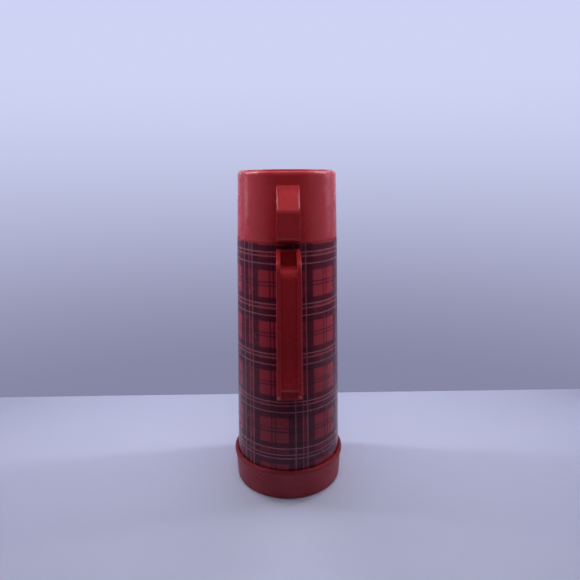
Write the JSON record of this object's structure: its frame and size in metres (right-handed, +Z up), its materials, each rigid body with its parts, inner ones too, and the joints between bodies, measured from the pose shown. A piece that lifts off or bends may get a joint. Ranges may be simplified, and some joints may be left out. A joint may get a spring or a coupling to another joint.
{
  "type": "vacuum flask",
  "caption": "Plaid vacuum flask with a handled screw-on cup, a screw stopper, a silvered glass filler and a channel-section body handle.",
  "frame": {"origin": "centre of the base's underside, on the flask's axis and on the surface that it stands on", "axes": "+Z up along the flask's axis, both handles towards -Y"},
  "size_m": [0.1282, 0.1631, 0.3575],
  "materials": {
    "cup_red": "glossy moulded red plastic with fine scuffs",
    "liner_red": "satin moulded red plastic, food-safe inner wall",
    "body_red": "semi-gloss moulded red plastic",
    "base_red": "semi-gloss darker red plastic with table scuffs",
    "plaid": "printed red and navy plaid under a clear glossy coat",
    "stopper_ivory": "ivory polyethylene, satin",
    "foam": "closed-cell insulating foam",
    "washer": "pale food-grade rubber",
    "rubber": "black rubber, matt",
    "pad": "grey felted fibre pad",
    "glass": "clear blown glass",
    "silvered": "silvered blown glass",
    "screw": "zinc-plated steel"
  },
  "bodies": {
    "root": {"pour_collar": "body_red", "neck_gasket": "rubber", "body_shell": "body_red", "plaid_wrap": "plaid", "handle_grip": "body_red", "handle_screws": "screw", "handle_anchors": "screw", "glass_inner": "glass", "glass_outer": "silvered", "glass_spacers": "pad", "glass_tip": "glass", "tip_guard": "rubber", "shock_ring_upper": "pad", "shock_ring_lower": "pad", "base_cushion": "rubber", "base_seal": "washer"},
    "base": {"base_cup": "base_red"},
    "cup_washer": {"cup_seal": "washer"},
    "cup": {"cup_shell": "cup_red", "cup_liner": "liner_red", "cup_handle": "cup_red"},
    "stopper_washer": {"stopper_gasket": "washer"},
    "stopper": {"stopper_cap": "body_red", "stopper_plug": "stopper_ivory", "stopper_foam": "foam"}
  },
  "joints": [
    {"name": "cup_lift", "type": "slide", "parent": "root", "child": "cup_washer", "axis": [0, 0, 1], "range_m": [0, 0.14]},
    {"name": "cup_turn", "type": "hinge", "parent": "cup_washer", "child": "cup", "pos_m": [0, 0, 0.3], "axis": [0, 0, 1], "range_deg": [0, 450]},
    {"name": "stopper_lift", "type": "slide", "parent": "root", "child": "stopper_washer", "axis": [0, 0, 1], "range_m": [0, 0.063]},
    {"name": "stopper_turn", "type": "hinge", "parent": "stopper_washer", "child": "stopper", "pos_m": [0, 0, 0.29], "axis": [0, 0, 1], "range_deg": [0, 540]},
    {"name": "base_turn", "type": "hinge", "parent": "root", "child": "base", "pos_m": [0, 0, 0.01], "axis": [0, 0, 1], "range_deg": [-720, 0]}
  ],
  "couplings": [
    {"joint": "stopper_lift", "follows": "cup_lift", "ratio": 0.45}
  ]
}
